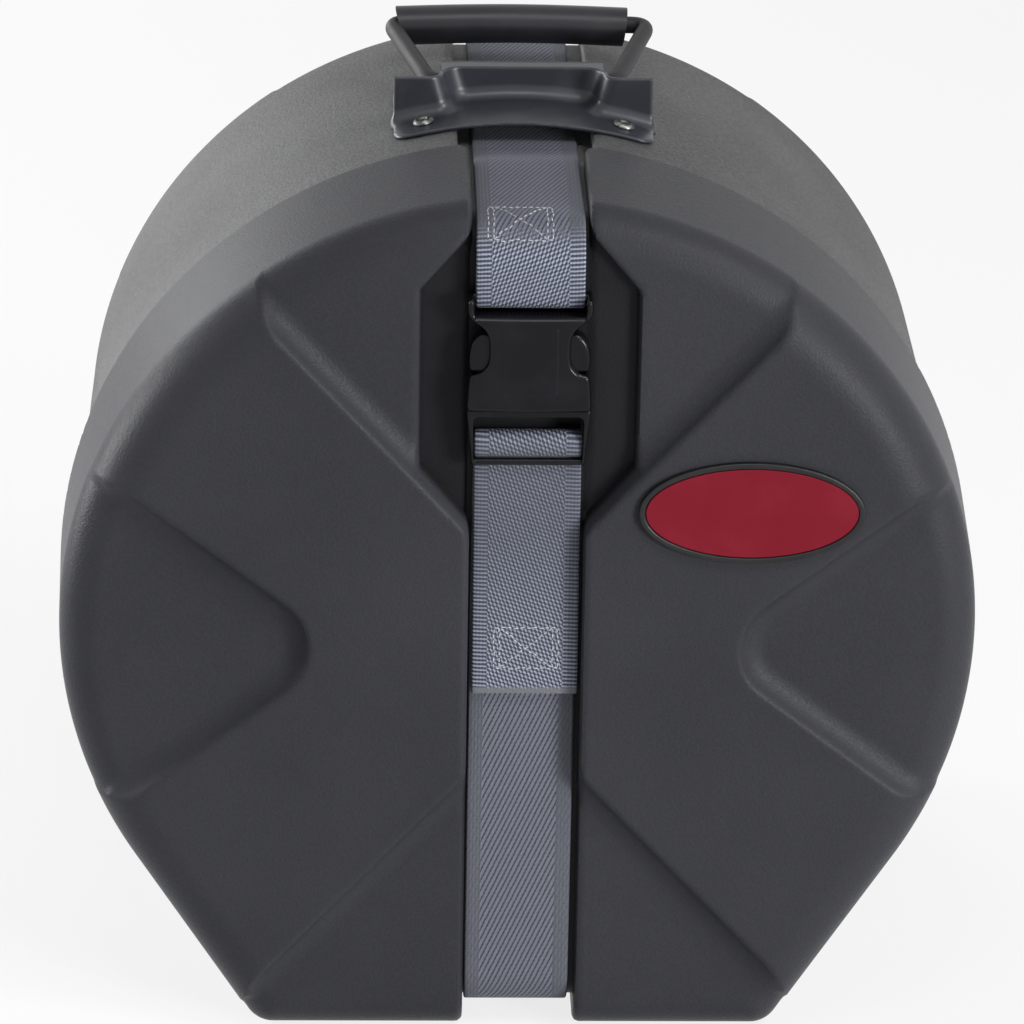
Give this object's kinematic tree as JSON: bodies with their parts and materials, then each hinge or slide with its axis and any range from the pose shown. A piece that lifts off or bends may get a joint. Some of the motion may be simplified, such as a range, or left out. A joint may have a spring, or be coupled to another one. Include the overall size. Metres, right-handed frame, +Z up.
{
  "type": "drum case",
  "caption": "Round moulded drum case with a telescoping lid, flat bottom, raised cross relief, webbing strap with side-release buckle and folding bail handle.",
  "frame": {"origin": "on the ground, under the middle of the drum circle, halfway along the case's depth", "axes": "+Z up, the lid faces -Y, +X to the right seen from the front"},
  "size_m": [0.4214, 0.308, 0.4284],
  "materials": {
    "shell": "pebbled moulded polyethylene",
    "steel": "black enamel",
    "grip": "satin vinyl",
    "rivet": "plated, part blackened",
    "webbing": "woven polypropylene webbing",
    "buckle": "satin acetal",
    "bezel": "satin",
    "badge": "plain satin plate",
    "foam": "closed-cell foam"
  },
  "bodies": {
    "base": {"base_shell": "shell", "handle_bracket": "steel", "rivet_front_left": "rivet", "rivet_front_right": "rivet", "rivet_rear_left": "rivet", "rivet_rear_right": "rivet", "washer_front_left": "rivet", "washer_front_right": "rivet", "washer_rear_left": "rivet", "washer_rear_right": "rivet", "strap_base": "webbing", "base_back_pad": "foam", "side_pad_left": "foam", "side_pad_right": "foam", "floor_pad_left": "foam", "floor_pad_right": "foam", "strap_top_stretch": "webbing", "strap_bottom_stretch": "webbing"},
    "lid": {"lid_shell": "shell", "lid_face_pad": "foam", "badge_bezel": "bezel", "badge_insert": "badge", "strap_upper": "webbing", "strap_lower": "webbing", "buckle_socket": "buckle", "buckle_plug": "buckle"},
    "bail": {"bail_rod": "steel", "grip": "grip"},
    "latch_left": {"prong_left": "buckle"},
    "latch_right": {"prong_right": "buckle"}
  },
  "joints": [
    {"name": "lid_slide", "type": "slide", "parent": "base", "child": "lid", "axis": [0, -1, 0], "range_m": [0, 0.15], "deforming": ["strap_top_stretch", "strap_bottom_stretch"]},
    {"name": "bail_hinge", "type": "hinge", "parent": "base", "child": "bail", "pos_m": [0.0024, 0.0213, 0.411], "axis": [1, 0, 0], "range_deg": [0, 100]},
    {"name": "left_latch_squeeze", "type": "hinge", "parent": "lid", "child": "latch_left", "pos_m": [-0.01485, -0.14565, 0.31825], "axis": [0, 1, 0], "range_deg": [0, 9], "stiffness_Nm_per_rad": 1.5},
    {"name": "right_latch_squeeze", "type": "hinge", "parent": "lid", "child": "latch_right", "pos_m": [0.01965, -0.14565, 0.31825], "axis": [0, -1, 0], "range_deg": [0, 9], "stiffness_Nm_per_rad": 1.5}
  ]
}
